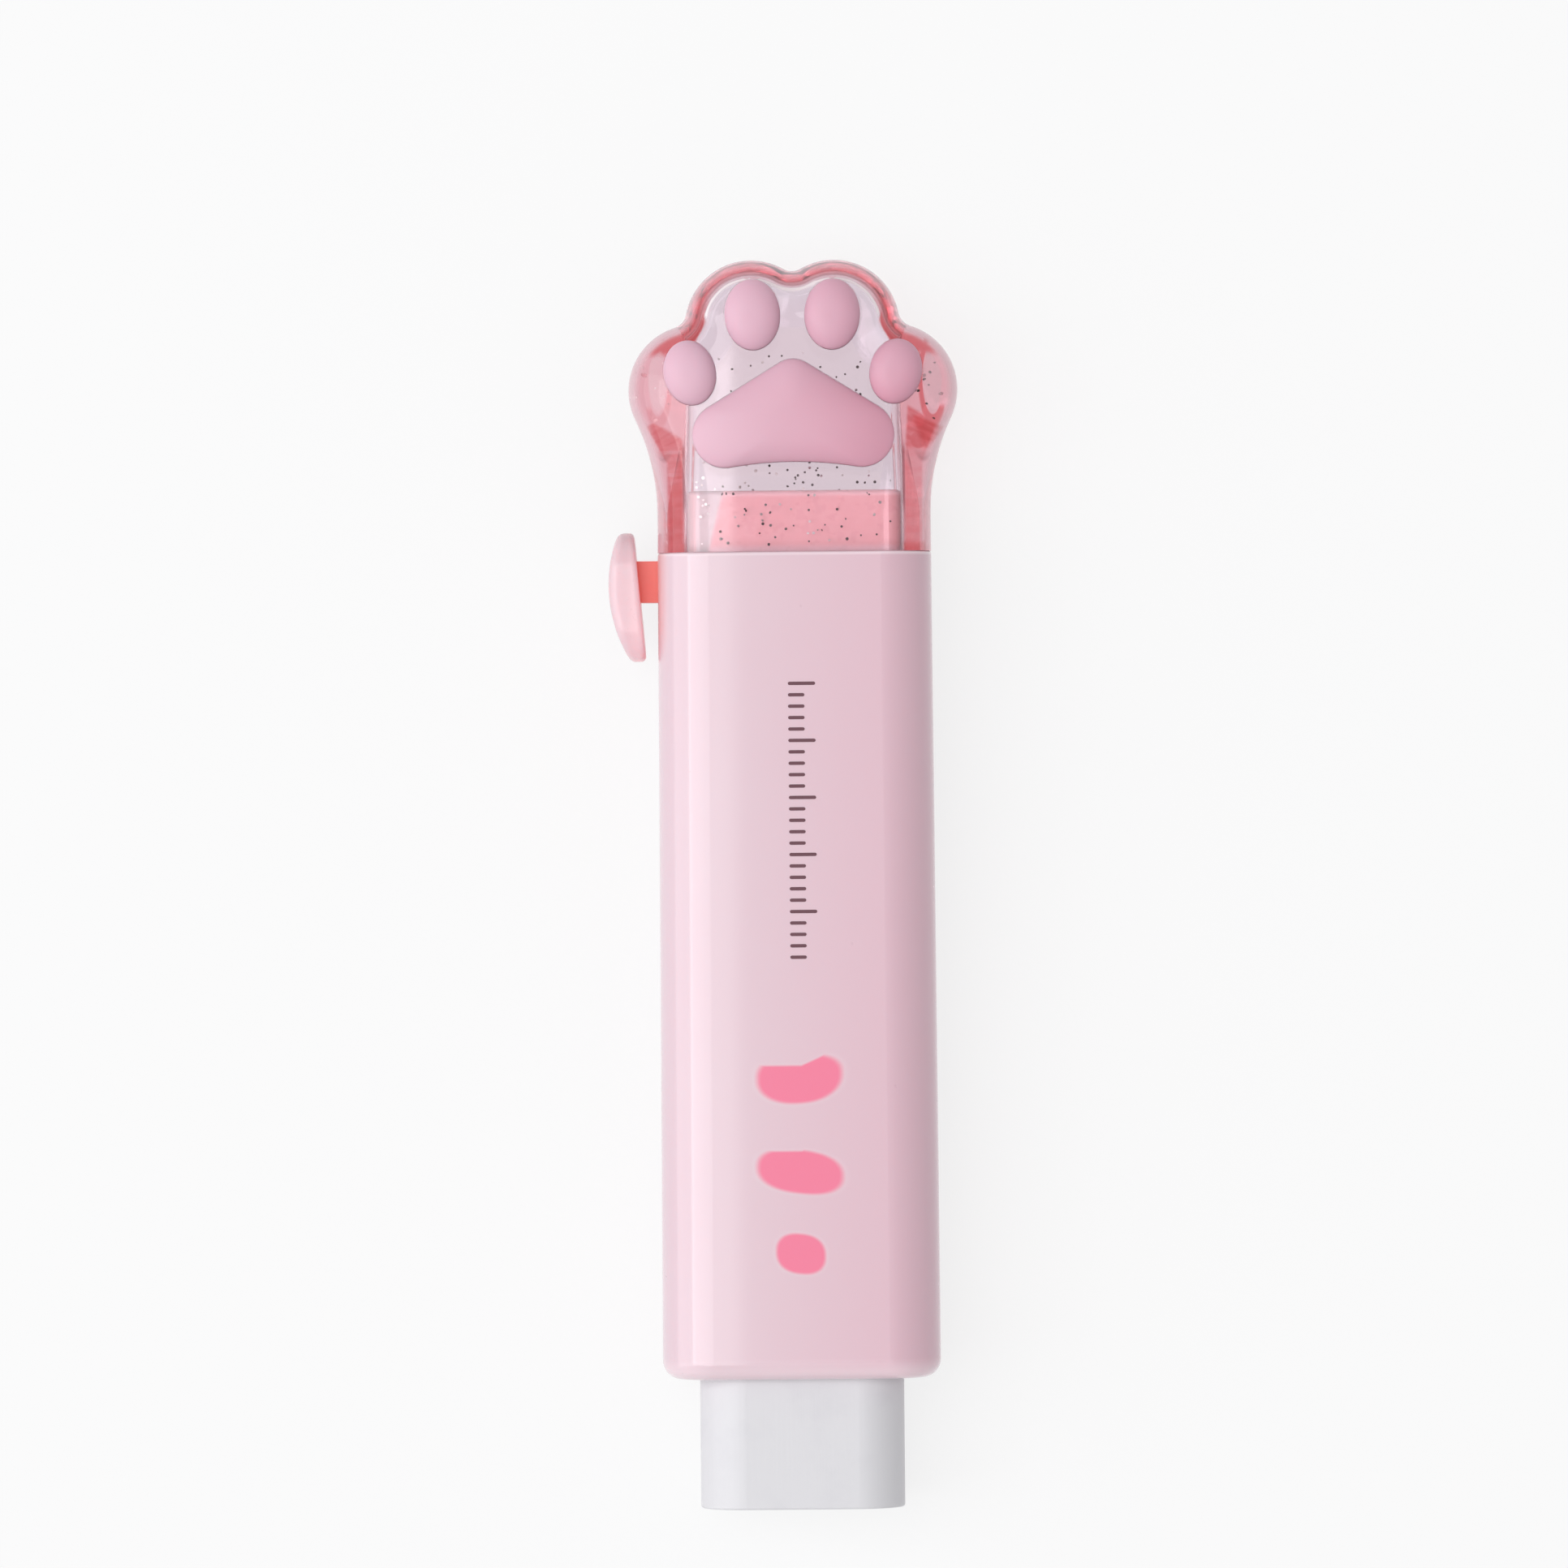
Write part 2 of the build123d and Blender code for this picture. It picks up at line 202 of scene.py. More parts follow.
def stripe(x, y, below_rim, half_width, half_height, rise, bend, lid):
    """How far out from a stripe's middle a point is, 1 on its edge.

    The stripe is a rounded bar whose middle line rises to the right by rise and curves up at both
    ends by bend: the sum of the shares of half width and half height, each to the power 2.4. Its top
    is cut off flat at the height lid, and right of climb_from the cut climbs.
    """
    middle = y - (rim_y - below_rim)
    along = abs(x / half_width)
    across = abs((middle - x * rise - x * x * bend) / half_height)
    over_lid = middle - lid - (x - climb_from).most(0.0) * climb
    return (along**2.4 + across**2.4).most(over_lid * lid_sharpness + 1.0)


material, tree, place = start("case_pink")
x = place.part("X")
y = place.part("Y")
z = place.part("Z")
on_front = z.step(case_front - 0.2, case_front - 0.1)
ink = 0
halo = 0

# Each stripe's below_rim, half_width, half_height, rise, bend and lid.
stripes = (
    (46.3, 3.72, 2.1, 0.06, 0.02, 1.2),
    (54.4, 3.75, 1.9, -0.115, 0.0, 1.8),
    (61.6, 2.15, 1.75, -0.1, 0.0, 1.8),
)
for stripe_sizes in stripes:
    out = stripe(x, y, *stripe_sizes)
    ink = ink + (1 - out.step(0.75, 1.25))
    halo = halo + (1 - out.step(1.0, 1.6))
flow = noise(place, 0.06, 2.0)
# Painted shade: the pink deepens from left to right, away from the light.
across = x.step(-12.0, 14.0)
body_colour = (flow * 0.4).between(across.between(lit_side_pink, shaded_side_pink), pink_flow)
# Painted highlights: paler at the rim and at the mouth.
at_rim = y.step(rim_y - 0.45, rim_y - 0.15)
body_colour = (at_rim * 0.8).between(body_colour, highlight_pink)
# Painted glow: the slide's coral on the case's edge beside the slot, fixed to the case.
by_slot = (1 - x.step(case_left + 0.3, case_left + 1.4)) * y.step(rim_y - 10.5, rim_y - 6.0)
by_slot = by_slot * z.step(case_front - 5.0, case_front - 3.6)
body_colour = (by_slot * 0.6).between(body_colour, painted_slot_glow)
at_mouth = 1 - y.step(mouth_y + 0.5, mouth_y + 2.0)
body_colour = (at_mouth * 0.6).between(body_colour, highlight_pink)
haloed = (halo * on_front * 0.15).between(body_colour, stripe_base)
colour = (ink * on_front).between(haloed, stripe_pink)
shader = tree.node(
    "ShaderNodeBsdfPrincipled",
    {},
    {
        "Base Color": colour,
        "Roughness": noise(place, 0.8, 3.0) * 0.06 + 0.26,
        "IOR": 1.5,
        "Subsurface Weight": 0.12,
        "Subsurface Radius": (1.0, 0.55, 0.5),
        "Subsurface Scale": 1.6 * MM,
        "Coat Weight": 0.8,
        "Coat Roughness": 0.03,
        "Normal": relief(noise(place, 0.35, 1.0), 0.004 * MM),
    },
)
close(tree, shader)
dress("case_shell", material)


# Printed scale
# A column of fine dark plum lines printed on the case's front, one a millimetre and each fifth one
# longer. Each is a film of ink that stands a hair proud of the plastic.
scale_top = 11.6
scale_count = 25
scale_left = -0.55
short_line = 1.15
long_line = 2.1
line_width = 0.3
ink_height = 0.012
ink_bite = 0.02


def plates(low, high):
    """Corners and faces of upright plates, from the rings of corners round each one's floor and top."""
    count, around = low.shape[:2]
    corners = np.stack([low, high], axis=1).reshape(-1, 3) * MM
    here = np.arange(around)
    after = (here + 1) % around
    wall = np.stack([here, after, after + around, here + around], axis=-1)
    first = (np.arange(count) * 2 * around)[:, None]
    walls = (wall[None] + first[..., None]).reshape(-1, 4).tolist()
    tops = (here[None] + around + first).tolist()
    bottoms = (here[None, ::-1] + first).tolist()
    return corners, walls + tops + bottoms


def scale_lines():
    """Corners and faces of all the lines.

    Round a line's outline runs an angle: its right half goes about the line's right end and its left
    half about the left end, at half the line's width. The same outline is taken low and high.
    """
    ends = 8
    count = np.arange(scale_count)
    length = np.where(count % 5 == 0, long_line, short_line)
    turn = np.linspace(-math.pi / 2, math.pi / 2, ends)
    angle = np.concatenate([turn, turn + math.pi])
    about_right = np.concatenate([np.ones(ends), np.zeros(ends)])
    across = scale_left + np.cos(angle)[None, :] * line_width / 2 + length[:, None] * about_right[None, :]
    along = rim_y - scale_top + np.sin(angle)[None, :] * line_width / 2 - count[:, None]
    heights = (case_front - ink_bite, case_front + ink_height)
    return plates(*(np.stack([across, along, np.full_like(across, height)], axis=-1) for height in heights))


def piece(name, corners, faces, material, smooth=True):
    """A new mesh object with its place in its mesh."""
    mesh = bpy.data.meshes.new(name)
    mesh.from_pydata(corners.tolist(), [], faces)
    mesh.polygons.foreach_set("use_smooth", np.full(len(faces), smooth))
    mesh.materials.append(material)
    made = bpy.data.objects.new(name, mesh)
    bpy.context.scene.collection.objects.link(made)
    return made


material, tree, place = start("plum_ink")
worn = noise(place, 9.0, 3.0)
shader = tree.node(
    "ShaderNodeBsdfPrincipled",
    {},
    {
        "Base Color": worn.between(srgb(84, 42, 54), srgb(108, 66, 78)),
        "Roughness": worn * 0.2 + 0.4,
        "Normal": relief(worn, 0.003 * MM),
    },
)
close(tree, shader)
print_scale = piece("printed_scale", *scale_lines(), material, smooth=False)
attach(print_scale, "case")


# Plug
# The salmon stopper that holds the cap: only its spigot shows, through the clear cap. Its colour is
# stronger than the case's. A painted highlight, pale grey, lies over the spigot's left end, and painted
# highlights make its top edge and its foot at the case's rim paler.
material, tree, place = start("plug_salmon")
flow = noise(place, 0.35, 2.0)
plug_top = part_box("plug")[1][1] / MM
gleam_side = 7.6
gleam_slope = 0.25
y = place.part("Y")
over_rim = y - rim_y
# Painted highlight: pale grey over the spigot's left end.
off_gleam = (place.part("X") + gleam_side - over_rim * gleam_slope).step(-0.2, 0.3)
salmon = flow.between(srgb(236, 178, 181), srgb(230, 168, 172))
# Painted highlights: paler just above the case's rim and along the spigot's top edge.
salmon = (1 - over_rim.step(0.1, 0.8)).between(salmon, srgb(246, 206, 212))
at_top = y.step(plug_top - 0.7, plug_top - 0.2)
salmon = (at_top * 0.7).between(salmon, srgb(252, 222, 224))
shader = tree.node(
    "ShaderNodeBsdfPrincipled",
    {},
    {
        "Base Color": off_gleam.between(srgb(214, 208, 208), salmon),
        "Roughness": noise(place, 1.2, 2.0) * 0.06 + 0.25,
        "Subsurface Weight": 0.15,
        "Subsurface Radius": (1.0, 0.4, 0.4),
        "Subsurface Scale": 1.2 * MM,
        "Coat Weight": 0.5,
        "Coat Roughness": 0.04,
        "Normal": relief(noise(place, 0.3, 2.0), 0.004 * MM),
    },
)
close(tree, shader)
dress("plug", material)


# Cap
# Clear pink plastic, moulded hollow from its foot with solid side lobes and polished all over. Looked
# at through its thin faces it is nearly clear under a painted grey shade, and along its walls the tint
# deepens. A coral band inside a pale outer edge is painted over it, for the light that the walls bend and
# hold. Light passes on to what lies behind it, so its shadow is pale.
clear_tint = (0.93, 0.42, 0.49, 1.0)
tint_per_metre = 95.0

cap_low, cap_high = (np.array(corner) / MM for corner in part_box("paw_cap"))
mid_z = (cap_low[2] + cap_high[2]) / 2

# Painted shade: the clear parts are greyed a little, for the shaded floor seen through the cap.
shaded_clear = (0.88, 0.91, 0.95, 1.0)
coral_tint = (0.76, 0.22, 0.24, 1.0)
deep_tint = (0.62, 0.10, 0.11, 1.0)
wall_shade_plum = srgb(130, 76, 90)
wall_side = 9.62
bar_side = 10.42
bar_widens_from = 7.8
gap_heights = (8.75, 6.8)


def ellipse(across, along, middle, half):
    """0 in the middle of an ellipse and 1 on its outline."""
    return ((across - middle[0]) / half[0]) ** 2.0 + ((along - middle[1]) / half[1]) ** 2.0


material, tree, place = start("cap_clear_pink")
side = abs(place.part("X"))
up = place.part("Y") - cap_low[1]
out = place.part("Z")
left = 1 - place.part("X").step(-0.5, 0.5)
right = 1 - left
flat = abs(tree.node("ShaderNodeTexCoord", out="Normal").part("Z"))
face = abs(out - mid_z).step(5.0, 5.6)

# The painted coral band, for the light bent in the walls, lies on the rounded edge just outside the hollow,
# reaches further in at the notches beside the inner toes, and ends round the outer lobes, where it is widest
# and deepest.
on_lobe = side.step(8.0, 9.2)
on_notch = 1 - ellipse(side, up, (8.6, 19.2), (1.9, 1.9)).step(0.5, 1.1)
inwards = on_lobe * 0.1 + on_notch * 0.06
band = flat.step(0.50, 0.66) * (1 - (flat - inwards).step(0.73, 0.79)) * up.step(16.9, 17.8)
paler_top = 1 - up.step(20.5, 23.0) * (1 - on_lobe) * 0.25

# Below the lobes the painted colour goes on as a bar that narrows down to the neck's wall and deepens again
# at the foot. Painted lines of bent light cross its top, around a deeper patch. The left bar has another
# slant at its top and two gaps.
streaks = noise(stretched(place, (0.6, 1.5, 0.2)), 1.0, 3.0)
widening = (up - bar_widens_from).most(0.0)
off_bar = abs(side - bar_side - right * 0.1 - widening * (left * 0.05 + 0.22))
off_bar = off_bar - right * (widening * 0.16 + 0.1) - left * widening * 0.28
bar = (1 - off_bar.step(0.5, 0.85)) * (1 - (up + (side - 9.6) * 0.57).step(12.6, 13.2))
bar = bar * (1 - left * (up - (side - 9.4) * 0.64).step(9.3, 9.9))
upper_gap, lower_gap = (1 - abs(up - height).step(0.08, 0.25) for height in gap_heights)
gaps = upper_gap.most(lower_gap) * left
strength = up.step(8.7, 9.2) * (0.3 - left * 0.1) + streaks.step(0.3, 0.7) * 0.2 + left * 0.1 + 0.55
bar = bar * (1 - gaps * 0.35) * strength
bent_light_lines = ((up * 0.88 + side * 0.47) * 8.4 + streaks * 3.0).sine()
hatch = bar * (bent_light_lines.step(-0.4, 0.9) * 0.5 + 0.5) * up.step(8.9, 9.4)
deep_patch = 1 - ellipse(side, up + left * 1.8, (10.95, 9.7), (0.75, 0.8)).step(0.7, 1.1)
foot = (1 - up.step(0.5, 1.1)) * (1 - abs(side - 10.7).step(0.9, 1.4))

# In each outer lobe a paler ghost, a painted reflection of the pad in the lobe's curved wall, lies beside
# the pad, with a painted deep red rim of bent light on its inner side and below it. The right one lies
# further out.
lobe_side = side - right * 0.4
pad_ghost = ellipse(lobe_side, up, (11.85, 15.0), (0.88, 3.0))
ghost_rim = pad_ghost.step(0.95, 1.15) * (1 - pad_ghost.step(1.7, 2.4))
ghost_rim = ghost_rim * (1 - lobe_side.step(11.3, 11.8)).most(1 - up.step(12.4, 13.0))
ghost_rim = ghost_rim * (1 - left * 0.7) * out.step(mid_z, mid_z + 1.0)

# A fine dark line of painted shade marks where the hollow begins beside the neck.
wall_line = (1 - abs(side - wall_side).step(0.06, 0.2)) * (1 - up.step(8.5, 10.0)) * up.step(2.5, 4.5)
coral = (band * paler_top).most(bar).most(foot * 0.8).most(ghost_rim) * face
deep = (band * side.step(6.8, 8.4)).most(hatch).most(bar * deep_patch).most(bar * left * 0.75)
deep = deep.most(ghost_rim * 0.7).most(foot * 0.5) * face
clear_colour = deep.between(coral.between(shaded_clear, coral_tint), deep_tint)
clear_colour = (wall_line * face * 0.8).between(clear_colour, wall_shade_plum)

plastic = tree.node(
    "ShaderNodeBsdfPrincipled",
    {},
    {
        "Base Color": clear_colour,
        "Roughness": noise(place, 1.5, 2.0) * 0.03,
        "IOR": 1.17,
        "Transmission Weight": 1.0,
        "Coat Weight": 0.7,
        "Coat Roughness": 0.02,
        "Normal": relief(noise(place, 0.25, 2.0), 0.006 * MM),
    },
)

# Painted highlights: steep faces near the front, the outer edge and a thin line where the hollow begins
# above, are mixed with a pale opaque shader, whiter on the line. The ghosts are lightened a little the
# same way, as painted reflections.
steep = (1 - flat.step(0.42, 0.68)) * out.step(9.0, 12.0)
edge_line = flat.step(0.765, 0.785) * (1 - flat.step(0.81, 0.84)) * up.step(15.6, 17.0)
edge_line = edge_line * out.step(13.9, 14.1) * (1 - on_lobe) * (1 - on_notch)
ghost = (1 - pad_ghost.step(0.6, 1.1)) * out.step(14.0, 14.3)
highlight_share = (steep * 0.5).most(edge_line * 0.75).most(ghost * 0.3)
highlight_shader = tree.node(
    "ShaderNodeBsdfPrincipled",
    {},
    {
        "Base Color": edge_line.between(srgb(226, 204, 212), srgb(252, 244, 246)),
        "Roughness": 0.25,
    },
)
seen_plastic = tree.node("ShaderNodeMixShader", {}, {0: highlight_share, 1: plastic, 2: highlight_shader})
passing = tree.node("ShaderNodeBsdfTransparent", {}, {"Color": (0.97, 0.90, 0.91, 1.0)})
shadow_ray = tree.node("ShaderNodeLightPath", out="Is Shadow Ray")
surface = tree.node("ShaderNodeMixShader", {}, {0: shadow_ray, 1: seen_plastic, 2: passing})
tint = tree.node("ShaderNodeVolumeAbsorption", {}, {"Color": clear_tint, "Density": tint_per_metre})
tree.node("ShaderNodeOutputMaterial", {}, {"Surface": surface, "Volume": tint})
dress("paw_cap", material)


# Glitter
# Fine six-sided flakes of foil that were stirred into the clear plastic before moulding. They lie at all
# angles in the front and back faces and in the side lobes. How each catches the light is painted in its
# colour: most are painted dark, a few painted white as glints, and at the left all of them are white.
flake_radius = 0.12
flake_thickness = 0.012
flakes_front = 120
flakes_back = 70
flakes_lobe = 12
slab_half = 8.6
slab_foot = 0.6
slab_top = 17.5
front_slab = (13.4, 14.2)
back_slab = (0.5, 2.1)
lobe_middle = (11.4, 14.2)
lobe_half = (1.4, 3.2, 4.5)
flash_side = -6.8
drawn_down = 0.4


def in_slab(dice, count, low, high):
    """Places spread evenly over the cap's face between two heights."""
    foot = cap_low[1]
    corners = [-slab_half, foot + slab_foot, low], [slab_half, foot + slab_top, high]
    return dice.uniform(*corners, (count, 3))


def flake_places(dice):
    """Middles of the flakes: in each face's slab, and in a ball in each side lobe.

    Every other one in the front slab is drawn down towards the cap's foot.
    """
    foot = cap_low[1]
    front = in_slab(dice, flakes_front, *front_slab)
    front[::2, 1] = foot + slab_foot + (front[::2, 1] - foot - slab_foot) * drawn_down
    back = in_slab(dice, flakes_back, *back_slab)
    lobe = dice.normal(0, 1, (2 * flakes_lobe, 3))
    lobe *= (dice.uniform(0, 1, 2 * flakes_lobe) ** (1 / 3) / np.linalg.norm(lobe, axis=1))[:, None]
    lobe = lobe * lobe_half + [lobe_middle[0], foot + lobe_middle[1], mid_z]
    lobe[:, 0] *= np.repeat([-1.0, 1.0], flakes_lobe)
    return np.concatenate([front, back, lobe])


def flakes():
    """Corners and faces of the flakes.

    A flake is a thin six-sided plate: an angle runs round it, low and high. Each is turned by three
    random angles: a spin about its own middle, a tilt from lying flat, and the way that it tilts.
    """
    dice = np.random.default_rng(7)
    middles = flake_places(dice)
    count = len(middles)
    angle = np.arange(6) * math.pi / 3
    radius = flake_radius * dice.uniform(0.7, 1.3, count)
    spin = dice.uniform(0, 2 * math.pi, (count, 1))
    tilt = dice.normal(0, 0.5, (count, 1))
    lean = dice.uniform(0, 2 * math.pi, (count, 1))
    rings = []
    for height in (-flake_thickness / 2, flake_thickness / 2):
        along = np.cos(angle + spin) * radius[:, None]
        across = np.sin(angle + spin) * radius[:, None]
        leant = across * np.cos(tilt) - height * np.sin(tilt)
        raised = across * np.sin(tilt) + height * np.cos(tilt)
        east = along * np.cos(lean) - leant * np.sin(lean)
        north = along * np.sin(lean) + leant * np.cos(lean)
        rings.append(np.stack([east, north, raised], axis=-1) + middles[:, None])
    # Painted glints: the share of white in each flake's colour, all white at the left.
    bright = dice.uniform(0, 1, count) ** 3
    bright[middles[:, 0] < flash_side] = 1.0
    return *plates(*rings), np.repeat(bright, 2 * len(angle))


material, tree, place = start("glitter_foil")
bright = tree.node("ShaderNodeAttribute", {"attribute_name": "painted_glint"}, out="Fac")
shader = tree.node(
    "ShaderNodeBsdfPrincipled",
    {},
    {
        "Base Color": bright.between(srgb(52, 32, 36), srgb(255, 252, 252)),
        "Metallic": 0.2,
        "Roughness": noise(place, 6.0, 1.0) * 0.2 + 0.2,
    },
)
close(tree, shader)
corners, faces, painted_glint = flakes()
glitter = piece("cap_glitter", corners, faces, material, smooth=False)
glitter.data.attributes.new("painted_glint", "FLOAT", "POINT").data.foreach_set("value", painted_glint)
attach(glitter, "case")


# Pads
# Five opaque pads of soft pink plastic, each a crowned pillow in its own shallow seat in the cap's front.
# Their faces are dull and very finely grained. Painted light makes them paler on the left and deeper
# pink on the right.
pad_rings = 28
pad_around = 120
pad_edge = 0.05
pad_foot = 0.02
inner_toe_form = (2.45, 3.1, 2.0)
outer_toe_form = (2.3, 2.85, 11.0)
palm_apex = 7.25
palm_apex_radius = 2.25
palm_cheek = (6.0, 2.85)
palm_arch = 0.5
palm_middle = 4.2
crown_flatness = 3
crown_fall = 0.75


def toe_outline(half_width, half_height, lean):
    """An ellipse by its angle, turned clockwise by lean degrees."""
    angle = np.linspace(0, 2 * math.pi, pad_around, endpoint=False)
    along, across = half_width * np.cos(angle), half_height * np.sin(angle)
    turn = math.radians(-lean)
    east = along * math.cos(turn) - across * math.sin(turn)
    north = along * math.sin(turn) + across * math.cos(turn)
    return np.stack([east, north], 1)


def arc(middle, radius, first, last):
    """Points of an arc by its angle from first to last in radians."""
    angle = np.linspace(first, last, 60)
    return np.stack([middle[0] + radius * np.cos(angle), middle[1] + radius * np.sin(angle)], 1)


def palm_outline():
    """Three arcs joined by tangents above, and a shallow arch below, set out evenly along their length.

    The tangent leaves both circles at the same angle: that of the line between their middles, tilted by
    the arcsine of the difference of the radii over the distance.
    """
    cheek_x, cheek_radius = palm_cheek
    cheek = np.array([cheek_x, cheek_radius])
    apex = np.array([0.0, palm_apex])
    way = cheek - apex
    lean = math.asin((cheek_radius - palm_apex_radius) / np.hypot(*way))
    normal = math.atan2(way[1], way[0]) + math.pi / 2 + lean
    arch_radius = (cheek_x**2 + palm_arch**2) / (2 * palm_arch) - cheek_radius
    arch = np.array([0.0, palm_arch - arch_radius])
    under = math.atan2(*(arch - cheek)[::-1])
    half_arch = math.asin(cheek_x / (arch_radius + cheek_radius))
    right = arc(cheek, cheek_radius, under, normal)
    left = right[::-1] * [-1, 1]
    below = arc(arch, arch_radius, math.pi / 2 + half_arch, math.pi / 2 - half_arch)
    above = arc(apex, palm_apex_radius, normal, math.pi - normal)
    path = np.concatenate([right, above, left, below, right[:1]])
    step = np.hypot(*np.diff(path, axis=0).T)
    length = np.concatenate([[0], np.cumsum(step)])
    keep = np.concatenate([[True], step > 1e-9])
    at = np.linspace(0, length[-1], pad_around, endpoint=False)
    return np.stack([np.interp(at, length[keep], path[keep, axis]) for axis in (0, 1)], 1)


def pillow(outline, middle, foot, edge, top):
    """Corners and faces of a crowned pillow over an outline about its middle.

    Rings run from the crown out to the outline: at the share r of the way, the height is the edge's plus
    the rise times 1 less r to the power crown_flatness, all to the power crown_fall. A wall and a floor
    close it below.
    """
    share = np.sin(np.linspace(0, math.pi / 2, pad_rings + 1)[1:])
    height = edge + (top - edge) * (1 - share**crown_flatness) ** crown_fall
    share = np.concatenate([share, [1.0]])
    height = np.concatenate([height, [foot]])
    rings = np.empty((len(share), len(outline), 3))
    rings[..., :2] = middle + share[:, None, None] * outline
    rings[..., 2] = height[:, None]
    corners = np.concatenate([[[*middle, top]], rings.reshape(-1, 3)])
    here = np.arange(len(outline))
    after = (here + 1) % len(outline)
    ring = (np.arange(len(share) - 1) * len(outline))[:, None] + 1
    sides = np.stack([ring + here, ring + here + len(outline), ring + after + len(outline), ring + after], -1)
    crown = np.stack([np.zeros_like(here), here + 1, after + 1], -1)
    floor = (len(corners) - len(outline) + here[::-1]).tolist()
    return corners * MM, crown.tolist() + sides.reshape(-1, 4).tolist() + [floor]


material, tree, place = start("pad_pink")
cloud = noise(place, 0.18, 2.0)
grain = noise(place, 7.0, 3.0)
palm = 1 - (place.part("Y") - cap_low[1]).step(13.0, 17.0)
# Painted light: paler to the left, deeper pink to the right.
across = place.part("X").step(-10.0, 10.0)
toe_colour = across.between(srgb(233, 191, 209), srgb(221, 166, 185))
palm_colour = across.between(srgb(233, 190, 207), srgb(221, 157, 177))
shader = tree.node(
    "ShaderNodeBsdfPrincipled",
    {},
    {
        "Base Color": (cloud * 0.3).between(palm.between(toe_colour, palm_colour), srgb(224, 172, 192)),
        "Roughness": grain * 0.12 + 0.4,
        "Subsurface Weight": 0.2,
        "Subsurface Radius": (1.0, 0.5, 0.55),
        "Subsurface Scale": 1.0 * MM,
        "Normal": relief(grain, 0.003 * MM),
    },
)
close(tree, shader)
inner_toe = toe_outline(*inner_toe_form)
outer_toe = toe_outline(*outer_toe_form)
other_side = np.array([-1, 1])
outlines = {
    "toe_pad_outer_left": (outer_toe * other_side)[::-1],
    "toe_pad_inner_left": (inner_toe * other_side)[::-1],
    "toe_pad_inner_right": inner_toe,
    "toe_pad_outer_right": outer_toe,
    "palm_pad": palm_outline() - [0, palm_middle],
}
for node, outline in outlines.items():
    low, high = (np.array(corner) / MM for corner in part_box(node))
    middle = np.array([(low[0] + high[0]) / 2, low[1] - outline[:, 1].min()])
    corners, faces = pillow(outline, middle, low[2] + pad_foot, cap_high[2] - pad_edge, high[2])
    pad = piece("crowned_" + node, corners, faces, material)
    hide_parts(node)
    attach(pad, "case")


# Slide
# The coral carrier inside the case. Its stem shows between the case and the button, and its arm shows
# through the slot. A faint coral emission paints a glow on it, for the light that the plastic lets in.
material, tree, place = start("slide_coral")
shader = tree.node(
    "ShaderNodeBsdfPrincipled",
    {},
    {
        "Base Color": noise(place, 0.5, 2.0).between(srgb(255, 132, 120), srgb(252, 120, 110)),
        "Roughness": noise(place, 1.5, 2.0) * 0.1 + 0.28,
        "Subsurface Weight": 0.35,
        "Subsurface Radius": (1.0, 0.3, 0.25),
        "Subsurface Scale": 1.5 * MM,
        # Painted glow: a faint coral emission.
        "Emission Color": (1.0, 0.10, 0.08, 1.0),
        "Emission Strength": 0.1,
        "Normal": relief(noise(place, 2.5, 2.0), 0.005 * MM),
    },
)
close(tree, shader)
dress("carrier", material)


# Thumb button
# The pale pink crowned pad pressed on the stem, polished on its crown and rubbed a little duller where
# the thumb pushes. A coral emission on its inner side paints a glow, for the stem's coral shining through.
material, tree, place = start("button_pink")
button_left, button_right = (corner[0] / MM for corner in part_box("thumb_button"))
rubbed = 1 - place.part("X").step(button_left, button_left + 1.0)
# Painted glow: coral emission on the inner side.
inner_glow = place.part("X").step(button_right - 1.9, button_right - 0.6)
shader = tree.node(
    "ShaderNodeBsdfPrincipled",
    {},
    {
        "Base Color": noise(place, 0.4, 2.0).between(srgb(234, 204, 211), srgb(231, 198, 206)),
        "Roughness": noise(place, 2.5, 3.0) * 0.1 + rubbed * 0.08 + 0.24,
        "Subsurface Weight": 0.8,
        "Subsurface Radius": (1.0, 0.5, 0.5),
        "Subsurface Scale": 3.0 * MM,
        "Coat Weight": 0.3,
        "Coat Roughness": 0.08,
        "Emission Color": inner_glow.between((0.0, 0.0, 0.0, 1.0), (0.9, 0.42, 0.42, 1.0)),
        "Emission Strength": 0.16,
        "Normal": relief(noise(place, 1.6, 2.0), 0.005 * MM),
    },
)
close(tree, shader)
dress("thumb_button", material)


# Eraser bar
# A bar of white vinyl, extruded and cut, with a dry powdery face, faint lines along it from the die
# and soft grey smudges.
material, tree, place = start("eraser_white")
die_lines = noise(stretched(place, (4.0, 0.08, 4.0)), 1.0, 2.0)
powder = noise(place, 5.0, 4.0)
smudge = noise(place, 0.25, 3.0).step(0.5, 0.8)
shader = tree.node(
    "ShaderNodeBsdfPrincipled",
    {},
    {
        "Base Color": (smudge * 0.6).between(srgb(225, 224, 228), srgb(218, 217, 222)),
        "Roughness": powder * 0.12 + 0.36,
        "Subsurface Weight": 0.15,
        "Subsurface Radius": (1.0, 0.95, 0.95),
        "Subsurface Scale": 0.8 * MM,
        "Normal": relief(powder * 0.6 + die_lines, 0.008 * MM),
    },
)
close(tree, shader)
dress("eraser_bar", material)


# Floor
# A pale matte sheet under the stick. What the camera sees of it is mostly its own white, directly, in
# gloss and through the clear cap, so that it stays white and keeps a soft shadow.
floor_half = 2.5


def seen_directly(tree):
    """1 for rays that show a thing to the camera, directly, in gloss or through the cap, and 0 for others."""
    rays = ("Is Camera Ray", "Is Glossy Ray", "Is Transmission Ray")
    camera_ray, glossy_ray, passing_ray = (tree.node("ShaderNodeLightPath", out=ray) for ray in rays)
    bounced = tree.node("ShaderNodeLightPath", out="Diffuse Depth").least(1.0)
    return (camera_ray + glossy_ray + passing_ray).least(1.0) * (1 - bounced)


